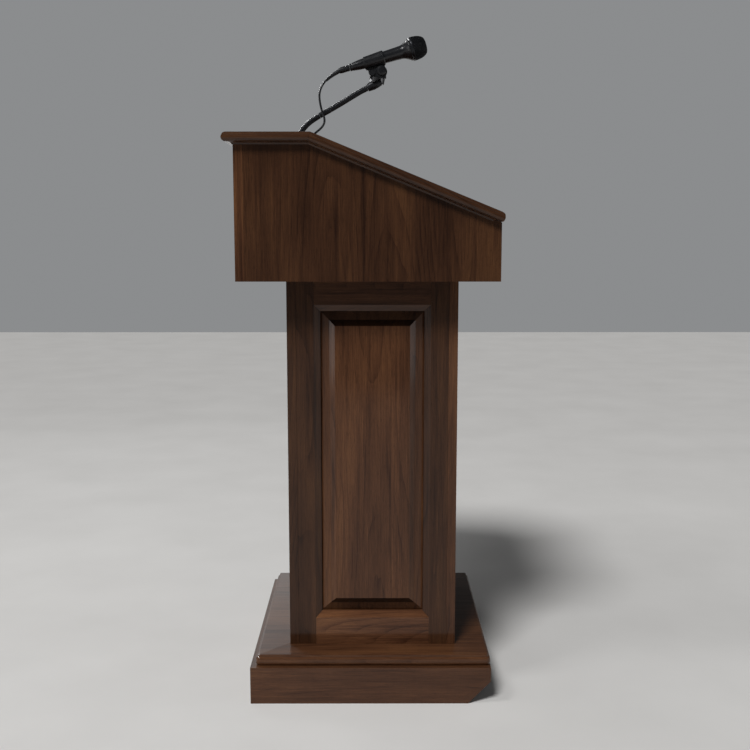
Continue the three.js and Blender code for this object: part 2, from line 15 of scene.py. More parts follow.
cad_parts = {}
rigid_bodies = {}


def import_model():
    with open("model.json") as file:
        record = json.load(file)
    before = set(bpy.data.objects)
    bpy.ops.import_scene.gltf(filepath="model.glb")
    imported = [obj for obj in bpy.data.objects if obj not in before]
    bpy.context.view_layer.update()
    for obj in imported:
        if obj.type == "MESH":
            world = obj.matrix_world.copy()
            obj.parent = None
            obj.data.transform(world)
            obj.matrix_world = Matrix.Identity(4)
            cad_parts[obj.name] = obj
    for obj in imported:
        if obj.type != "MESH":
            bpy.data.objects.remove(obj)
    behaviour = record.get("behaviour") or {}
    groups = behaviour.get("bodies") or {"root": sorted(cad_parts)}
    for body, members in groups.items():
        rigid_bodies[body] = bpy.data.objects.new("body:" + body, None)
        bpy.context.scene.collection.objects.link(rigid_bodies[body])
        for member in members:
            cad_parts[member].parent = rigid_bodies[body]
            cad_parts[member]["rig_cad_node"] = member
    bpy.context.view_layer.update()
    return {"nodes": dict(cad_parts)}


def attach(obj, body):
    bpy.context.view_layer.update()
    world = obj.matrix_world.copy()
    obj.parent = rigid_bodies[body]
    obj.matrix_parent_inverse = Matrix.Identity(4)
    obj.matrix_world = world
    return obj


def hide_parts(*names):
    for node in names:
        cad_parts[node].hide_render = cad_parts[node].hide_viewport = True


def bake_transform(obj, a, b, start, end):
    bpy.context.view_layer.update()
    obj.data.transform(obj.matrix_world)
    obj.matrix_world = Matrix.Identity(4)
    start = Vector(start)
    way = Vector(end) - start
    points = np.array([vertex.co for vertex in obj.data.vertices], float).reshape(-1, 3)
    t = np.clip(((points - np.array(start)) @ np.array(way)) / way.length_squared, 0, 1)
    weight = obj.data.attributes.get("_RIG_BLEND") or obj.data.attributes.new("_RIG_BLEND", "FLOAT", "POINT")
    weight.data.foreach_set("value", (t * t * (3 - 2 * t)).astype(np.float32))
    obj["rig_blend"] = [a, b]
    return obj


MM = 0.001
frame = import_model()
nodes = frame["nodes"]

# ---------- sizes, as in the part's source ----------
GAP = 0.3
BOARD = 19
DECK = {"half": 297, "front": -227.5, "rear": 263, "top": 103, "bottom": 80.3, "corner": 4.0}
COLUMN = {"half": 232.5, "front": -164, "rear": 197, "top": 898}
STILE = 37.5
FRONT_STILE = 56
TOP_RAIL = 52
BOTTOM_RAIL = 60
CHAMFER = 13.5
HEAD = {"half": 320, "front": -259.9}
TOP = {"z": 1192, "knee": -106, "rear": 284.3, "slope": math.radians(22.15)}
MOULDING = 21
KNEE_SHIFT = math.tan(TOP["slope"] / 2)
SLOPE_LENGTH = (TOP["rear"] - TOP["knee"]) / math.cos(TOP["slope"])

NECK_ROUTE = [(0, y, z) for y, z in [
    (-147.2, 1206), (-147.2, 1209), (-145.9, 1214.6), (-142.1, 1222), (-133.6, 1232.4), (-124.4, 1240.8),
    (-108, 1251.8), (-80, 1267.2), (-53.6, 1282.2), (-30, 1296.2), (-8.8, 1308.4), (5, 1315)]]
NECK_ENDS = (70, 98)
NECK_RADIUS = 6.35
FERRULE_LEAN = math.radians(27)

CABLE_ROUTE = [
    (32, -125, 1196.5), (32, -124.7, 1199.5), (31.3, -122.3, 1204), (30, -117.4, 1208.8),
    (28, -110.9, 1214.6), (26, -105.4, 1219.2), (24, -99.4, 1224.6), (21.2, -93.4, 1231.8),
    (19.2, -90.4, 1239.6), (17.2, -90.5, 1247.8), (15.4, -93.4, 1257.2), (14.2, -96.6, 1266.6),
    (12.6, -99.6, 1279.6), (11, -101.4, 1292.4), (8.8, -101.1, 1303.6), (6, -97.8, 1315.4),
    (3.4, -91.4, 1326.4), (2.2, -87.6, 1331)]
CABLE_ENDS = (34, 72, 110)
CABLE_BODIES = ("desk", "neck_base", "neck_middle", "neck_tip", "microphone")
CABLE_RADIUS = 2.4
BOOT_ROUTE = [(2, -87.2, 1331.5), (1, -78.6, 1338.6), (0.2, -69, 1345.4), (0, -56.6, 1352.8)]
GROMMET = (32, -125)

MIC_TAIL = (0, -34.3, 1359.3)
MIC_ANGLE = math.radians(16.2)
HANDLE_LENGTH = 141

X, Y, Z = Vector((1, 0, 0)), Vector((0, 1, 0)), Vector((0, 0, 1))
DOWN_SLOPE = Vector((0, math.cos(TOP["slope"]), -math.sin(TOP["slope"])))
OFF_SLOPE = Vector((0, math.sin(TOP["slope"]), math.cos(TOP["slope"])))


# ---------- camera ----------
def make_camera():
    """A camera square to the right side, a little over the column's top and looking slightly down."""
    pitch = 0.1538
    yaw = -0.0023
    level = math.cos(pitch)
    forward = Vector((-level * math.cos(yaw), -level * math.sin(yaw), -math.sin(pitch)))
    data = bpy.data.cameras.new("camera")
    data.sensor_width = 36
    data.lens = 54.39
    data.shift_y = 0.0467
    data.clip_end = 60
    camera = bpy.data.objects.new("camera", data)
    camera.rotation_mode = "QUATERNION"
    camera.rotation_quaternion = forward.to_track_quat("-Z", "Y")
    camera.location = (2.6151, 0.0165, 0.9922)
    bpy.context.scene.collection.objects.link(camera)
    bpy.context.scene.camera = camera


# ---------- routes and outlines ----------
FINE = 40


def curved(points, steps=6):
    """A centripetal Catmull-Rom curve through the points, with that many steps from one to the next."""
    p = np.array(points, float)
    p = np.vstack([2 * p[0] - p[1], p, 2 * p[-1] - p[-2]])
    knots = np.concatenate([[0], np.cumsum(np.linalg.norm(np.diff(p, axis=0), axis=1) ** 0.5)])
    made = []
    for i in range(1, len(p) - 2):
        t = np.linspace(knots[i], knots[i + 1], steps + 1)[:, None]
        k0, k1, k2, k3 = knots[i - 1:i + 3]
        a1 = (k1 - t) / (k1 - k0) * p[i - 1] + (t - k0) / (k1 - k0) * p[i]
        a2 = (k2 - t) / (k2 - k1) * p[i] + (t - k1) / (k2 - k1) * p[i + 1]
        a3 = (k3 - t) / (k3 - k2) * p[i + 1] + (t - k2) / (k3 - k2) * p[i + 2]
        b1 = (k2 - t) / (k2 - k0) * a1 + (t - k0) / (k2 - k0) * a2
        b2 = (k3 - t) / (k3 - k1) * a2 + (t - k1) / (k3 - k1) * a3
        part = (k2 - t) / (k2 - k1) * b1 + (t - k1) / (k2 - k1) * b2
        made.extend(part[:-1])
    made.append(p[-2])
    return np.array(made)


def route_length(route):
    return float(np.linalg.norm(np.diff(curved(route, FINE), axis=0), axis=1).sum())


def along_route(route, distances):
    """Points at those distances along a route."""
    fine = curved(route, FINE)
    run = np.concatenate([[0], np.cumsum(np.linalg.norm(np.diff(fine, axis=0), axis=1))])
    return np.stack([np.interp(distances, run, fine[:, k]) for k in range(3)], axis=1)


# ---------- meshes ----------
def mesh_object(name, points, faces, crease=35):
    """A mesh from points in millimetres, smooth apart from edges sharper than crease degrees."""
    mesh = bpy.data.meshes.new(name)
    mesh.from_pydata((np.array(points, float) * MM).tolist(), [], faces)
    mesh.validate()
    mesh.shade_smooth()
    mesh.set_sharp_from_angle(angle=math.radians(crease))
    made = bpy.data.objects.new(name, mesh)
    bpy.context.scene.collection.objects.link(made)
    return made


def loft(rings, closed_ends=True, looped=False):
    """Points and faces of a skin over rings of equal count."""
    count, total = len(rings[0]), len(rings)
    faces = []
    for k in range(total if looped else total - 1):
        low, high = k * count, ((k + 1) % total) * count
        for i in range(count):
            j = (i + 1) % count
            faces.append((low + i, low + j, high + j, high + i))
    if closed_ends and not looped:
        faces.append(tuple(reversed(range(count))))
        faces.append(tuple(range((total - 1) * count, total * count)))
    return np.concatenate(rings), faces


def axes(u, v, w, origin):
    """The matrix that lays local axes u, v and w along three directions, from an origin."""
    made = Matrix.Identity(4)
    for k, direction in enumerate((u, v, w, origin)):
        made.col[k][:3] = direction
    return made


def placed(points, matrix):
    m = np.array(matrix)
    return np.array(points, float) @ m[:3, :3].T + m[:3, 3]


def turned(name, profile, place, sides=48, crease=35, rim=None):
    """A profile of (radius, height) turned about local Z. It starts and ends on the axis. rim, where given,
    takes a profile point's number and the angles, and gives a factor for the radius at each angle."""
    rings, tips = [], []
    for k, (r, h) in enumerate(profile):
        if r < 1e-6:
            tips.append((0, 0, h))
            continue
        angles = np.arange(sides) * 2 * math.pi / sides
        radii = r * (rim(k, angles) if rim else np.ones(sides))
        rings.append(np.stack([radii * np.cos(angles), radii * np.sin(angles), np.full(sides, h)], axis=1))
    points, faces = loft(rings, closed_ends=False)
    last = (len(rings) - 1) * sides
    points = np.vstack([points, *[np.array([t]) for t in tips]])
    start, end = len(points) - 2, len(points) - 1
    for i in range(sides):
        j = (i + 1) % sides
        faces.append((start, j, i))
        faces.append((end, last + i, last + j))
    return mesh_object(name, placed(points, place), faces, crease)


def normals_along(line):
    """Two unit normals at each point of a line, without twist."""
    direction = np.gradient(line, axis=0)
    direction /= np.linalg.norm(direction, axis=1)[:, None]
    side = np.cross(direction[0], (1, 0, 0) if abs(direction[0][0]) < 0.9 else (0, 1, 0))
    sides = []
    for d in direction:
        side = side - d * (side @ d)
        side = side / np.linalg.norm(side)
        sides.append(side)
    sides = np.array(sides)
    return sides, np.cross(direction, sides)


def tube(name, line, radii, sides=20, crease=50):
    """A round tube with a radius at each point of its line."""
    u, v = normals_along(line)
    angles = np.arange(sides) * 2 * math.pi / sides
    rings = [line[k] + radii[k] * (np.cos(angles)[:, None] * u[k] + np.sin(angles)[:, None] * v[k])
             for k in range(len(line))]
    return mesh_object(name, *loft(rings), crease)


def strip(name, section, w0, w1, shift0, shift1, place, crease=30):
    """A section of (u, v) carried along w. shift0 and shift1 move its ends for each mm of u and v: mitres."""
    section = np.array(section, float)
    rings = []
    for w, shift in ((w0, shift0), (w1, shift1)):
        rings.append(placed(np.column_stack([section, w + section @ np.array(shift)]), place))
    u, v = section[:, 0], section[:, 1]
    turns = np.sum(u * np.roll(v, -1) - np.roll(u, -1) * v) * Matrix(place).determinant()
    if turns < 0:
        rings.reverse()
    return mesh_object(name, *loft(rings), crease)


# ---------- materials ----------
class Shader:
    """A material whose nodes are made by node() and end in one Principled shader."""

    def __init__(self, name):
        self.material = bpy.data.materials.new(name)
        self.material.use_nodes = True
        self.tree = self.material.node_tree
        self.surface = self.tree.nodes["Principled BSDF"]

    def node(self, kind, inputs=(), out=0, **settings):
        made = self.tree.nodes.new("ShaderNode" + kind)
        for key, value in settings.items():
            setattr(made, key, value)
        for key, value in dict(inputs).items():
            if isinstance(value, bpy.types.NodeSocket):
                self.tree.links.new(value, made.inputs[key])
            else:
                made.inputs[key].default_value = value
        return made.outputs[out]

    def math(self, operation, a, b=0.0, clamp=False):
        return self.node("Math", {0: a, 1: b}, operation=operation, use_clamp=clamp)

    def noise(self, vector, scale, detail=2.0, roughness=0.5):
        stretched = self.node("VectorMath", {0: vector, 1: scale}, operation="MULTIPLY")
        inputs = {"Vector": stretched, "Scale": 1.0, "Detail": detail, "Roughness": roughness}
        return self.node("TexNoise", inputs)

    def scaled(self, vector, factor):
        return self.node("VectorMath", {0: vector, "Scale": factor}, operation="SCALE")

    def ramp(self, factor, stops):
        socket = self.node("ValToRGB", {"Fac": factor})
        element = socket.node.color_ramp.elements
        while len(element) < len(stops):
            element.new(0.5)
        for e, (position, colour) in zip(element, stops):
            e.position = position
            e.color = (*colour, 1)
        return socket

    def range(self, value, low, high, to_low, to_high):
        return self.node("MapRange", {"Value": value, 1: low, 2: high, 3: to_low, 4: to_high})

    def bump(self, height, strength, distance):
        return self.node("Bump", {"Height": height, "Strength": strength, "Distance": distance})

    def end(self, **inputs):
        for key, value in inputs.items():
            socket = self.surface.inputs[key.replace("_", " ")]
            if isinstance(value, bpy.types.NodeSocket):
                self.tree.links.new(value, socket)
            else:
                socket.default_value = value
        return self.material


def walnut_material(name, dark, middle, light, coat):
    """Walnut along the grain attribute: staves, colour zones, streaks, fibres, growth lines, dark veins and
    pores, under lacquer. The noise scales are per metre: across, through and along the grain."""
    s = Shader(name)
    grain = s.node("Attribute", attribute_name="grain", out=1)
    tone = s.node("Attribute", attribute_name="tone", out=2)
    staves = s.node("Attribute", attribute_name="staves", out=2)

    staves_per_metre = 24.0
    across = s.node("SeparateXYZ", {0: grain}, out=0)
    number = s.math("FLOOR", s.math("MULTIPLY", across, staves_per_metre))
    stave = s.node("TexWhiteNoise", {"W": number}, noise_dimensions="1D")
    zones = s.noise(grain, (13, 13, 2.6), 3.0, 0.5)
    streaks = s.noise(grain, (170, 170, 3.0), 4.0, 0.65)
    fibres = s.noise(grain, (900, 900, 18), 2.0, 0.6)
    pores = s.range(s.noise(grain, (1500, 1500, 70), 1.0), 0.32, 0.42, 0, 1)

    # growth lines are where a slow field crosses whole numbers, and are dark only in places
    lines_per_field = 34.0
    field = s.noise(grain, (5.0, 5.0, 0.7), 1.0, 0.3)
    wobble = s.noise(grain, (45, 45, 5), 2.0, 0.5)
    rings = s.math("ADD", s.math("MULTIPLY", field, lines_per_field), s.math("MULTIPLY", wobble, 0.7))
    rings = s.math("POWER", s.math("FRACT", rings), 4.0)
    rings = s.math("MULTIPLY", rings, s.range(wobble, 0.42, 0.62, 0, 1))
    veins = s.range(s.noise(grain, (60, 60, 1.6), 3.0, 0.6), 0.57, 0.74, 0, 1)

    stave_weight = s.math("MULTIPLY", staves, 0.16)
    mixed = s.math("ADD", 0.5, s.math("MULTIPLY", s.math("SUBTRACT", stave, 0.5), stave_weight))
    for part, weight in ((zones, 0.9), (streaks, 0.42), (fibres, 0.6)):
        mixed = s.math("ADD", mixed, s.math("MULTIPLY", s.math("SUBTRACT", part, 0.5), weight))
    for part, weight in ((rings, 0.24), (veins, 0.3)):
        mixed = s.math("SUBTRACT", mixed, s.math("MULTIPLY", part, weight))
    colour = s.scaled(s.ramp(mixed, [(0.15, dark), (0.5, middle), (0.85, light)]), tone)
    colour = s.scaled(colour, s.range(pores, 0, 1, 0.66, 1))
    height = s.math("ADD", s.math("MULTIPLY", pores, 0.7), s.math("MULTIPLY", fibres, 0.5))
    return s.end(
        Base_Color=colour, Roughness=s.range(streaks, 0.3, 0.7, 0.5, 0.4),
        Normal=s.bump(height, 0.12, 0.0005),
        Coat_Weight=coat, Coat_Roughness=0.12, Specular_IOR_Level=0.1,
    )


def mottled_material(name, colour, rough, metallic=0.0, bump=0.1, grain_size=900, coat=0.0):
    """Moulded, cast or painted stuff: slight mottling in colour and gloss, and a fine surface grain."""
    s = Shader(name)
    where = s.node("TexCoord", out=3)
    patches = s.noise(where, (60, 60, 60), 3.0)
    fine = s.noise(where, (grain_size,) * 3, 2.0)
    factor = s.math("ADD", s.math("MULTIPLY", patches, 0.6), s.math("MULTIPLY", fine, 0.4))
    low, high = [tuple(min(1.0, c * k) for c in colour) for k in (0.78, 1.22)]
    return s.end(
        Base_Color=s.ramp(factor, [(0.3, low), (0.7, high)]), Metallic=metallic,
        Roughness=s.range(patches, 0.3, 0.7, rough * 0.85, rough * 1.15),
        Normal=s.bump(fine, bump, 0.0004), Coat_Weight=coat, Coat_Roughness=0.2,
    )


def machined_material(name, colour, rough):
    """Plated metal with fine scratches in all directions."""
    s = Shader(name)
    where = s.node("TexCoord", out=3)
    one = s.noise(where, (30, 2200, 2200), 1.0)
    two = s.noise(where, (2200, 30, 2200), 1.0)
    scratches = s.math("MINIMUM", one, two)
    patches = s.noise(where, (80, 80, 80), 3.0)
    low, high = [tuple(min(1.0, c * k) for c in colour) for k in (0.85, 1.08)]
    return s.end(
        Base_Color=s.ramp(patches, [(0.3, low), (0.7, high)]), Metallic=1.0,
        Roughness=s.range(scratches, 0.2, 0.6, rough * 1.5, rough * 0.8),
        Normal=s.bump(scratches, 0.08, 0.0003),
    )


WALNUT = walnut_material(
    "walnut", coat=0.45,
    dark=(0.026, 0.0098, 0.0046), middle=(0.066, 0.027, 0.0122), light=(0.125, 0.054, 0.022))
WALNUT_INSIDE = walnut_material(
    "walnut_inside", coat=0.15,
    dark=(0.035, 0.018, 0.011), middle=(0.085, 0.042, 0.024), light=(0.16, 0.085, 0.05))
STEEL = machined_material("zinc_steel", (0.55, 0.56, 0.58), 0.32)
CHROME = machined_material("bright_metal", (0.13, 0.13, 0.135), 0.3)
WHEEL = mottled_material("wheel_rubber", (0.012, 0.012, 0.013), 0.62, bump=0.25, grain_size=500)
NECK = mottled_material("dark_metal", (0.022, 0.023, 0.026), 0.34, metallic=0.6, bump=0.05)
PLASTIC = mottled_material("black_plastic", (0.0075, 0.008, 0.0095), 0.36, bump=0.16, grain_size=1400)
PAINT = mottled_material("mic_paint", (0.008, 0.0085, 0.01), 0.3, bump=0.08, grain_size=2200, coat=0.15)
MESH = mottled_material("mic_mesh", (0.016, 0.017, 0.02), 0.33, metallic=0.5, bump=0.05)
FOAM = mottled_material("mic_foam", (0.006, 0.006, 0.007), 0.9, bump=0.5, grain_size=800)
RUBBER = mottled_material("cable_rubber", (0.0075, 0.0078, 0.009), 0.42, bump=0.12, grain_size=700)


def painted(obj, material, body=None, stands_for=()):
    """Gives a piece its finish and slot, its body, and the CAD nodes it stands for."""
    obj.data.materials.clear()
    obj.data.materials.append(material)
    if stands_for:
        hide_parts(*stands_for)
    if body:
        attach(obj, body)
    return obj


def bevelled(obj, width, segments=3):
    made = obj.modifiers.new("bevel", "BEVEL")
    made.width = width * MM
    made.segments = segments
    made.limit_method = "ANGLE"
    made.angle_limit = math.radians(30)
    made.harden_normals = True
    obj.data.shade_smooth()
    return obj


boards = []
NEXT_IN_TREE = np.array([0.731, 0.377, 1.913])


def grained(obj, along, across, tone=1.0, staves=0.0):
    """Lays the grain along a board, starting at a different place in the tree for each board. tone
    lightens or darkens it, and staves says how much its glued strips differ."""
    boards.append(obj.name)
    points = np.array([v.co for v in obj.data.vertices])
    through = along.cross(across)
    grain = np.column_stack([points @ np.array(d) for d in (across, through, along)])
    grain += NEXT_IN_TREE * len(boards)
    values = obj.data.attributes.new("grain", "FLOAT_VECTOR", "POINT")
    values.data.foreach_set("vector", grain.astype(np.float32).ravel())
    for key, value in (("tone", tone), ("staves", staves)):
        shades = obj.data.attributes.new(key, "FLOAT", "POINT")
        shades.data.foreach_set("value", np.full(len(points), value, np.float32))
    return obj


# ---------- the cable, first of all the pieces ----------
def leaning(place, angle):
    """Local Z leans from +Y up by the angle, at a place."""
    up = Vector((0, -math.sin(angle), math.cos(angle)))
    ahead = Vector((0, math.cos(angle), math.sin(angle)))
    return axes(X, up, ahead, place)


def make_plug():
    shell = [(0, -0.3), (6.4, -0.3), (6.9, -1), (6.9, -7), (6.5, -7.4), (6.5, -8.2), (6.9, -8.6), (6.9, -19),
             (6.6, -20.4), (6.2, -21), (6.2, -24), (0, -24)]
    plug = turned("plug_shell", shell, leaning(MIC_TAIL, MIC_ANGLE))
    return painted(plug, PLASTIC, "microphone", ["cable_plug"])


def make_boot():
    """A tapered sleeve with ring grooves, from the cable to the plug."""
    step = 0.5
    groove = {"pitch": 4.0, "land": 2.4, "depth": 0.32, "first": 3, "last": 26}
    places = np.arange(0, route_length(BOOT_ROUTE), step)
    taper = np.interp(places, [0, 3, 30], [3.1, 3.4, 4.6])
    grooved = np.mod(places, groove["pitch"]) > groove["land"]
    grooved = grooved * (places > groove["first"]) * (places < groove["last"])
    boot = tube("boot", along_route(BOOT_ROUTE, places), taper - groove["depth"] * grooved, 28)
    return painted(boot, RUBBER, "microphone")


def make_cable():
    """Four lengths that bend with the gooseneck. The boot and the plug ride on the microphone, where the last
    length ends.
    """
    step = 1.5
    stiff = 4
    total = route_length(CABLE_ROUTE)
    ends = (0, *CABLE_ENDS, total)
    plug = make_plug()
    boot = make_boot()
    for i in range(4):
        length = ends[i + 1] - ends[i]
        line = along_route(CABLE_ROUTE, np.linspace(ends[i], ends[i + 1], int(length / step) + 1))
        piece = tube(f"cable_{i + 1}", line, np.full(len(line), CABLE_RADIUS), 20)
        painted(piece, RUBBER, stands_for=[f"mic_cable_{i + 1}"])
        start, end = along_route(CABLE_ROUTE, [ends[i] + stiff, ends[i + 1] - stiff]) * MM
        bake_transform(piece, CABLE_BODIES[i], CABLE_BODIES[i + 1], start=start, end=end)


make_camera()
make_cable()


# ---------- walnut ----------
def finish_boards():
    """The flat boards keep their CAD shape, with eased edges. Each has its grain, tone and staves."""
    side_tone = 0.66
    post_tone = 1.05
    board_ease = 0.9
    plinth_ease = 2.2
    frame_ease = 0.5
    outside = {
        "head_side_right": (Z, Y, side_tone, 0.6),
        "head_side_left": (Z, Y, side_tone, 0.6),
        "head_front": (Z, X, 1.1, 0.6),
        "top_board": (X, Y, 1.0, 0),
        "reading_surface": (X, DOWN_SLOPE, 1.0, 0),
        "column_rear_post_left": (Z, X, post_tone, 0),
        "column_rear_post_right": (Z, X, post_tone, 0),
        "plinth_left": (Y, Z, 1.0, 0),
        "plinth_right": (Y, Z, 1.0, 0),
        "plinth_front": (X, Z, 1.0, 0),
        "plinth_rear": (X, Z, 1.0, 0),
    }
    for name, (along, across, tone, staves) in outside.items():
        ease = plinth_ease if name.startswith("plinth") else board_ease
        painted(bevelled(grained(nodes[name], along, across, tone, staves), ease), WALNUT)
    inside = {
        "head_floor": (X, Y),
        "column_shelf": (X, Y),
        "shelf_cleat_left": (Y, Z),
        "shelf_cleat_right": (Y, Z),
    }
    for name, (along, across) in inside.items():
        painted(bevelled(grained(nodes[name], along, across), board_ease), WALNUT_INSIDE)
    for side, across in (("left", Y), ("right", Y), ("front", X)):
        rails_and_stiles = (("stile_far", Z, across, 0.62), ("stile_near", Z, across, 0.62),
                            ("rail_top", across, Z, 0.9), ("rail_bottom", across, Z, 1.35))
        for part, grain_along, grain_across, tone in rails_and_stiles:
            board = grained(nodes[f"column_{side}_{part}"], grain_along, grain_across, tone)
            painted(bevelled(board, frame_ease, 2), WALNUT)


# distance in from the panel's edge, and height from its field
PANEL_STEPS = [(0, -18.5), (0, -15.5), (18, -9.2), (30, -0.5), (30.4, -0.1), (31, 0)]
PANEL_TONE = 1.1
# painted shade on the panel's facets that face up or down: how strongly their tone falls with tilt, and the
# least tone they keep
PAINTED_SHADE_BY_TILT = 1.35
DARKEST_PAINTED_SHADE = 0.12


def make_panel(name, a0, a1, stile, place, across):
    """A raised panel: a flat field and a margin of two facets, steep beside the field and then less so.
    Painted shade darkens the facets above and below the field, the more the further they face up or down."""
    inset = CHAMFER + GAP
    left, right = a0 + stile + inset, a1 - stile - inset
    low, high = DECK["top"] + BOTTOM_RAIL + inset, COLUMN["top"] - TOP_RAIL - inset
    rings = []
    for step, height in PANEL_STEPS:
        x0, x1, y0, y1 = left + step, right - step, low + step, high - step
        ring = [(x0, y0, height), (x1, y0, height), (x1, y1, height), (x0, y1, height)]
        rings.append(placed(ring, place))
    panel = mesh_object(f"{name}_field", *loft(rings), 12)
    attributes = panel.data.attributes
    sharp = attributes.get("sharp_edge") or attributes.new("sharp_edge", "BOOLEAN", "EDGE")
    for edge in panel.data.edges:
        if abs(edge.vertices[0] - edge.vertices[1]) == len(ring):
            sharp.data[edge.index].value = True
    grained(panel, Z, across, PANEL_TONE, 1.0)
    attributes.remove(attributes["tone"])
    shades = attributes.new("tone", "FLOAT", "FACE")
    # painted shade: each face's tone is darkened by how far the face points up or down
    for face in panel.data.polygons:
        left_by_painted_shade = 1 - PAINTED_SHADE_BY_TILT * abs(face.normal.z)
        shades.data[face.index].value = PANEL_TONE * max(DARKEST_PAINTED_SHADE, left_by_painted_shade)
    painted(panel, WALNUT, "desk", [name])


def make_panels():
    half, front, rear = COLUMN["half"], COLUMN["front"], COLUMN["rear"]
    y0, y1 = front + BOARD + GAP, rear - BOARD - GAP
    make_panel("column_right_panel", y0, y1, STILE, axes(Y, Z, X, (half, 0, 0)), Y)
    make_panel("column_left_panel", -y1, -y0, STILE, axes(-Y, Z, -X, (-half, 0, 0)), Y)
    make_panel("column_front_panel", -half, half, FRONT_STILE, axes(X, Z, -Y, (0, front, 0)), X)


def make_deck():
    """The deck's edge has a small step, then a nose, then a recess over the plinth. Its corners are eased."""
    nose = curved([(1, 4.6), (3.6, 5.8), (5.5, 8), (6, 10.5), (6, 18), (5.2, 20.6)], 5)
    edge = [(-0.9, 0), (0, 0.15), (0.7, 0.6), (1, 1.4), *nose, (3.2, DECK["top"] - DECK["bottom"])]
    arc = np.linspace(0, math.pi / 2, 7)
    rings = []
    for out, down in reversed(edge):
        radius = DECK["corner"] + out
        x = DECK["half"] + out - radius
        rear, front = DECK["rear"] + out - radius, DECK["front"] - out + radius
        ring = []
        for k, (centre_x, centre_y) in enumerate([(x, rear), (-x, rear), (-x, front), (x, front)]):
            turn = arc + k * math.pi / 2
            ring.extend(zip(centre_x + radius * np.cos(turn), centre_y + radius * np.sin(turn)))
        rings.append(np.array([(px, py, DECK["top"] - down) for px, py in ring]))
    deck = mesh_object("deck", *loft(rings), 32)
    painted(grained(deck, Y, X, 1.0), WALNUT, "desk", ["base_deck"])


def moulding_sections():
    """The outlines of the front and side mouldings, and of the thinner rear one, as (out, up)."""
    top = curved([(11.5, 0), (15, -0.9), (17.8, -2.8), (19.6, -5.6)], 5)
    quirk = [(19.4, -6), (19.3, -6.4)]
    bead = curved([(20.2, -7.2), (21, -10.4), (20.5, -13.6), (18.7, -16.6), (15.5, -18.7)], 6)
    cove = curved([(7, -19.2), (4.4, -20.4), (2.4, -22.4), (1.6, -24)], 4)
    rear_points = [(20.2, -7.2), (21, -10.4), (20.9, -13.5), (20.3, -16.4), (19.2, -18.2), (17.8, -18.9)]
    rear_bead = curved(rear_points, 6)
    full = [(GAP, 0), *top, *quirk, *bead, *cove, (GAP, -24)]
    rear = [(GAP, 0), *top, *quirk, *rear_bead, (GAP, -18.9)]
    return full, rear


def make_mouldings():
    """The edge moulding: a rounded top, a quirk, a bead and a cove under it, mitred at every corner."""
    tone = 0.62
    half, front_y = HEAD["half"], HEAD["front"]
    full, rear_section = moulding_sections()
    for side, sign in (("left", -1), ("right", 1)):
        corner = (sign * half, TOP["knee"], TOP["z"])
        out = X * sign
        flat = strip(f"{side}_flat_moulding", full, front_y - TOP["knee"] + GAP, -GAP / 2,
                     (-1, 0), (0, KNEE_SHIFT), axes(out, Z, Y, corner))
        painted(grained(flat, Y, X, tone), WALNUT, "desk", [f"moulding_{side}_flat"])
        slope = strip(f"{side}_slope_moulding", full, GAP / 2, SLOPE_LENGTH - MOULDING - GAP,
                      (0, -KNEE_SHIFT), (1, 0), axes(out, OFF_SLOPE, DOWN_SLOPE, corner))
        painted(grained(slope, DOWN_SLOPE, X, tone), WALNUT, "desk", [f"moulding_{side}_slope"])
    front_place = axes(-Y, Z, X, (0, front_y, TOP["z"]))
    front = strip("front_moulding", full, -half, half, (-1, 0), (1, 0), front_place)
    painted(grained(front, X, Y, tone), WALNUT, "desk", ["moulding_front"])
    origin = Vector((0, TOP["knee"], TOP["z"])) + DOWN_SLOPE * (SLOPE_LENGTH - MOULDING)
    rear_place = axes(DOWN_SLOPE, OFF_SLOPE, X, origin)
    rear = strip("rear_nosing", rear_section, -half, half, (-1, 0), (1, 0), rear_place)
    painted(grained(rear, X, Y, tone), WALNUT, "desk", ["moulding_rear"])


# ---------- wheels ----------
def finish_wheels():
    for name in ("wheel_bracket_left", "wheel_bracket_right"):
        painted(bevelled(nodes[name], 0.4, 2), STEEL)
    painted(nodes["wheel_axle"], STEEL)
    for name in ("wheel_left", "wheel_right"):
        painted(bevelled(nodes[name], 0.5, 2), WHEEL)


# ---------- gooseneck and clip ----------
def upright(x, y, z=0):
    return axes(X, Y, Z, (x, y, z))


def hexagon(ring, angles):
    """Six flat sides on a screw's head, on the two rings that its sides run between."""
    if ring not in (1, 2):
        return np.ones_like(angles)
    return 1 / np.cos(np.mod(angles, math.pi / 3) - math.pi / 6)


def make_flange():
    """A stepped round plate with three screws."""
    foot_y, base = NECK_ROUTE[0][1], TOP["z"] + GAP
    plate = [(0, 0), (27.6, 0), (28.5, 0.9), (28.5, 2.6), (27.9, 4), (26.6, 4.8), (25, 5), (15.2, 5),
             (13.8, 5.5), (13, 6.8), (13, 7.4), (12.4, 8), (0, 8)]
    flange = turned("flange", plate, upright(0, foot_y, base), 64)
    painted(flange, NECK, "desk", ["gooseneck_flange"])
    screw_circle = 19.5
    seat = 4.7
    head = [(0, 1.0), (1.5, 1.0), (1.5, 2.3), (2.2, 2.25), (3.1, 1.7), (3.5, 0.9), (3.6, 0), (0, 0)]
    for i in range(3):
        angle = math.radians(90 + 120 * i)
        place = upright(screw_circle * math.cos(angle), foot_y + screw_circle * math.sin(angle), base + seat)
        painted(turned(f"flange_screw_{i + 1}", head, place, 24, rim=hexagon), STEEL, "desk")


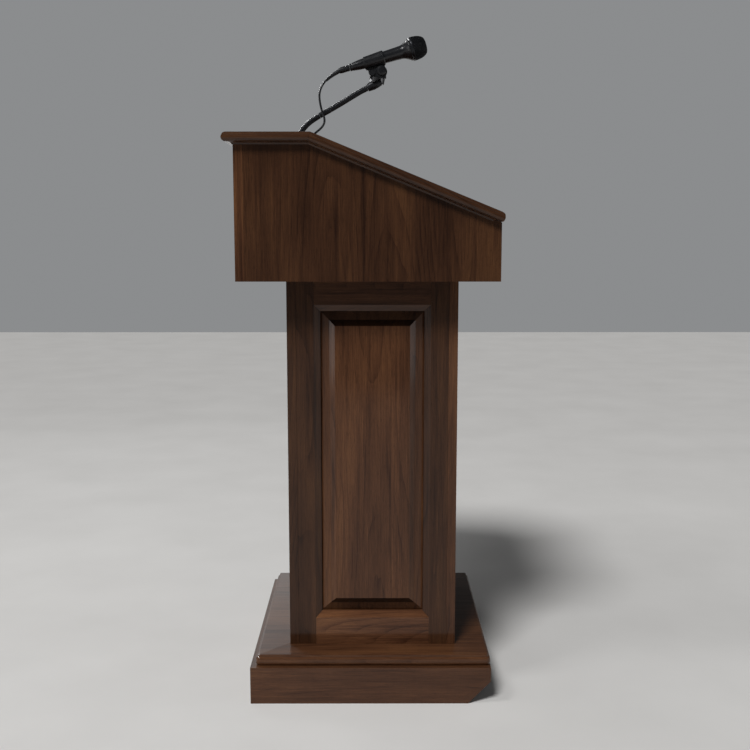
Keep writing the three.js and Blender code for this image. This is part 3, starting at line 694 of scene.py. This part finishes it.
def make_hose():
    """Wound wire: its radius rises and falls once for each turn. Its two ends bend with the joints."""
    pitch = 2.6
    steps_per_turn = 6
    rib = 0.4
    stiff = 6
    ends = (0, *NECK_ENDS, route_length(NECK_ROUTE))
    bends = {"gooseneck_lower": ("neck_base", "neck_middle"), "gooseneck_upper": ("neck_middle", "neck_tip")}
    for i, name in enumerate(("gooseneck_lower", "gooseneck_middle", "gooseneck_upper")):
        places = np.arange(ends[i], ends[i + 1] + 0.01, pitch / steps_per_turn)
        wave = np.abs(np.sin(math.pi * places / pitch)) ** 0.7
        radii = NECK_RADIUS - rib + rib * wave
        hose = tube(f"{name}_hose", along_route(NECK_ROUTE, places), radii, 28, 60)
        painted(hose, NECK, stands_for=[name])
        if name not in bends:
            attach(hose, "neck_middle")
            continue
        start, end = along_route(NECK_ROUTE, [ends[i] + stiff, ends[i + 1] - stiff]) * MM
        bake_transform(hose, *bends[name], start=start, end=end)


def make_ferrules():
    foot_y, foot_z = NECK_ROUTE[0][1:]
    flange_top = TOP["z"] + GAP + 8
    seat = flange_top + GAP
    mouth = foot_z - 0.6
    socket = [(0, seat), (8.6, seat), (9, seat + 0.4), (9, foot_z - 3), (7.5, mouth), (0, mouth)]
    foot = turned("foot_ferrule", socket, upright(0, foot_y))
    painted(foot, NECK, "neck_base", ["gooseneck_base_ferrule"])
    sleeve = [(0, 0.3), (7.8, 0.3), (8.3, 0.9), (8.5, 3), (10, 12), (10.3, 13.2), (10.3, 23), (10.1, 24.2),
              (9.1, 32.2), (7.6, 33.8), (0, 34)]
    tip = turned("tip_ferrule", sleeve, leaning(NECK_ROUTE[-1], FERRULE_LEAN))
    painted(tip, NECK, "neck_tip", ["gooseneck_tip_ferrule"])


def finish_clip():
    for name, ease, material in (("clip_collar", 0.3, CHROME), ("clip_base", 0.5, PLASTIC),
                                 ("clip_pivot_bolt", 0.4, PLASTIC), ("mic_holder", 0.6, PLASTIC)):
        painted(bevelled(nodes[name], ease, 2), material)


# ---------- microphone ----------
MIC_PLACE = leaning(MIC_TAIL, MIC_ANGLE)
GRILLE_START = HANDLE_LENGTH + GAP


def make_handle():
    taper = [(8.4, 6), (9.3, 12), (11.2, 28), (13.1, 80), (14.1, 112), (15.2, 123), (19.4, 132), (23.2, 138)]
    tail = [(0, 0), (7.2, 0), (7.9, 0.5), (8.2, 1.4), (8.2, 4.4), (7.9, 4.8), (7.9, 5.4)]
    mouth = [(24, 139.3), (24, 140.4), (23.4, HANDLE_LENGTH), (0, HANDLE_LENGTH)]
    handle = turned("mic_handle", [*tail, *curved(taper, 6), *mouth], MIC_PLACE, 72)
    painted(handle, PAINT, "microphone", ["mic_body"])


def raised(profile, start):
    return [(r, h + start) for r, h in profile]


def make_grille():
    """A ring, a dome of wire net and a dark windscreen just under the net."""
    ring = [(0, 0), (24.6, 0), (25.6, 0.8), (25.6, 2.8), (26, 3.4), (26, 5.6), (25.4, 6.4), (24.4, 6.6),
            (0, 6.6)]
    painted(turned("grille_ring", raised(ring, GRILLE_START), MIC_PLACE, 72), MESH, "microphone")
    outline = [(25.6, 5), (25.2, 12), (24, 20), (21.5, 27), (17.5, 32.5), (12, 35.2), (0, 36.3)]
    dome = curved(raised(outline, GRILLE_START), 12)
    under = 1.0
    liner = [(0, GRILLE_START + 6), *[(r - under if r > under else 0, h - under) for r, h in dome]]
    painted(turned("windscreen", liner, MIC_PLACE, 48), FOAM, "microphone")
    make_net(dome[::-1])


def make_net(crown):
    """A flat square net drawn over the dome from its crown, and then made into wires."""
    cell = 1.75
    wire = 0.62
    run = np.concatenate([[0], np.cumsum(np.linalg.norm(np.diff(crown, axis=0), axis=1))])
    count = int(run[-1] / cell) + 1
    grid, points = {}, []
    for i in range(-count, count + 1):
        for j in range(-count, count + 1):
            away = math.hypot(i, j) * cell
            if away > run[-1]:
                continue
            turn = math.atan2(j, i)
            r, h = np.interp(away, run, crown[:, 0]), np.interp(away, run, crown[:, 1])
            grid[i, j] = len(points)
            points.append((r * math.cos(turn), r * math.sin(turn), h))
    faces = []
    for i, j in grid:
        corners = [(i, j), (i + 1, j), (i + 1, j + 1), (i, j + 1)]
        if all(c in grid for c in corners):
            faces.append([grid[c] for c in corners])
    net = mesh_object("grille_net", placed(points, MIC_PLACE), faces, 60)
    wires = net.modifiers.new("wires", "WIREFRAME")
    wires.thickness = wire * MM
    wires.use_even_offset = False
    wires.use_boundary = True
    painted(net, MESH, "microphone", ["mic_grille"])


def make_grommet():
    ring = [(0, 0), (7.4, 0), (8, 0.6), (8, 1.4), (7.2, 2.8), (5.6, 3.7), (4, 3.9), (2.9, 3.4), (0, 3.4)]
    grommet = turned("grommet", ring, upright(*GROMMET, TOP["z"] + GAP), 40)
    painted(grommet, RUBBER, "desk", ["cable_grommet"])


# ---------- floor and lights ----------
def make_floor():
    s = Shader("floor")
    where = s.node("TexCoord", out=3)
    pale = s.ramp(s.noise(where, (3, 3, 3), 4.0), [(0.3, (0.60, 0.59, 0.575)), (0.7, (0.64, 0.63, 0.615))])
    s.end(Base_Color=pale, Roughness=0.9)
    reach = 9000
    corners = [(-reach, -reach, 0), (reach, -reach, 0), (reach, reach, 0), (-reach, reach, 0)]
    floor = mesh_object("floor", corners, [(0, 1, 2, 3)])
    floor.data.materials.append(s.material)


def make_room():
    """A grey backdrop to look at, and a dim room to be lit by."""
    world = bpy.data.worlds.new("studio")
    world.use_nodes = True
    tree = world.node_tree
    seen = tree.nodes.new("ShaderNodeLightPath").outputs["Is Camera Ray"]
    level = tree.nodes.new("ShaderNodeMapRange")
    level.inputs["To Min"].default_value = 0.07
    level.inputs["To Max"].default_value = 0.3
    tree.links.new(seen, level.inputs["Value"])
    background = tree.nodes["Background"]
    background.inputs["Color"].default_value = (0.86, 0.88, 0.90, 1)
    tree.links.new(level.outputs["Result"], background.inputs["Strength"])
    bpy.context.scene.world = world


def aimed_light(name, data, direction, place=(0, 0, 0)):
    light = bpy.data.objects.new(name, data)
    light.location = place
    light.rotation_mode = "QUATERNION"
    light.rotation_quaternion = direction.to_track_quat("-Z", "Y")
    bpy.context.scene.collection.objects.link(light)
    return light


def make_key_light():
    """A broad sun, high over the right side and a little towards the audience. Glossy surfaces don't
    show it."""
    sun = bpy.data.lights.new("key", "SUN")
    sun.energy = 2.8
    sun.angle = 0.26
    key = aimed_light("key", sun, Vector((-1.0, 0.4, -1.22)))
    key.visible_glossy = False


def soft_light(name, place, target, size, power, diffuse=True):
    """A square or oblong lamp. One that isn't diffuse is only seen in glossy surfaces."""
    data = bpy.data.lights.new(name, "AREA")
    data.shape = "RECTANGLE"
    data.size, data.size_y = size
    data.energy = power
    light = aimed_light(name, data, Vector(target) - Vector(place), place)
    light.visible_camera = False
    light.visible_diffuse = diffuse


def make_lights():
    middle = (0, 0, 0.75)
    microphone = (0, 0, 1.3)
    make_key_light()
    soft_light("panel", (-3.2, -1.35, 1.3), (0, -1, 0.9), (2.2, 1.9), 10, diffuse=False)
    soft_light("rim", (-2.4, -1.9, 2.7), microphone, (0.9, 0.9), 90, diffuse=False)
    soft_light("top", (1.2, -1.6, 3.2), microphone, (0.7, 0.7), 22)
    soft_light("front", (0.9, -3.8, 1.2), middle, (2.0, 2.0), 20)
    soft_light("back", (0.9, 3.8, 1.2), middle, (2.0, 2.0), 14)
    bpy.context.scene.view_settings.view_transform = "Standard"


finish_boards()
make_panels()
make_deck()
make_mouldings()
finish_wheels()
make_flange()
make_ferrules()
make_hose()
finish_clip()
make_handle()
make_grille()
make_grommet()
make_floor()
make_room()
make_lights()
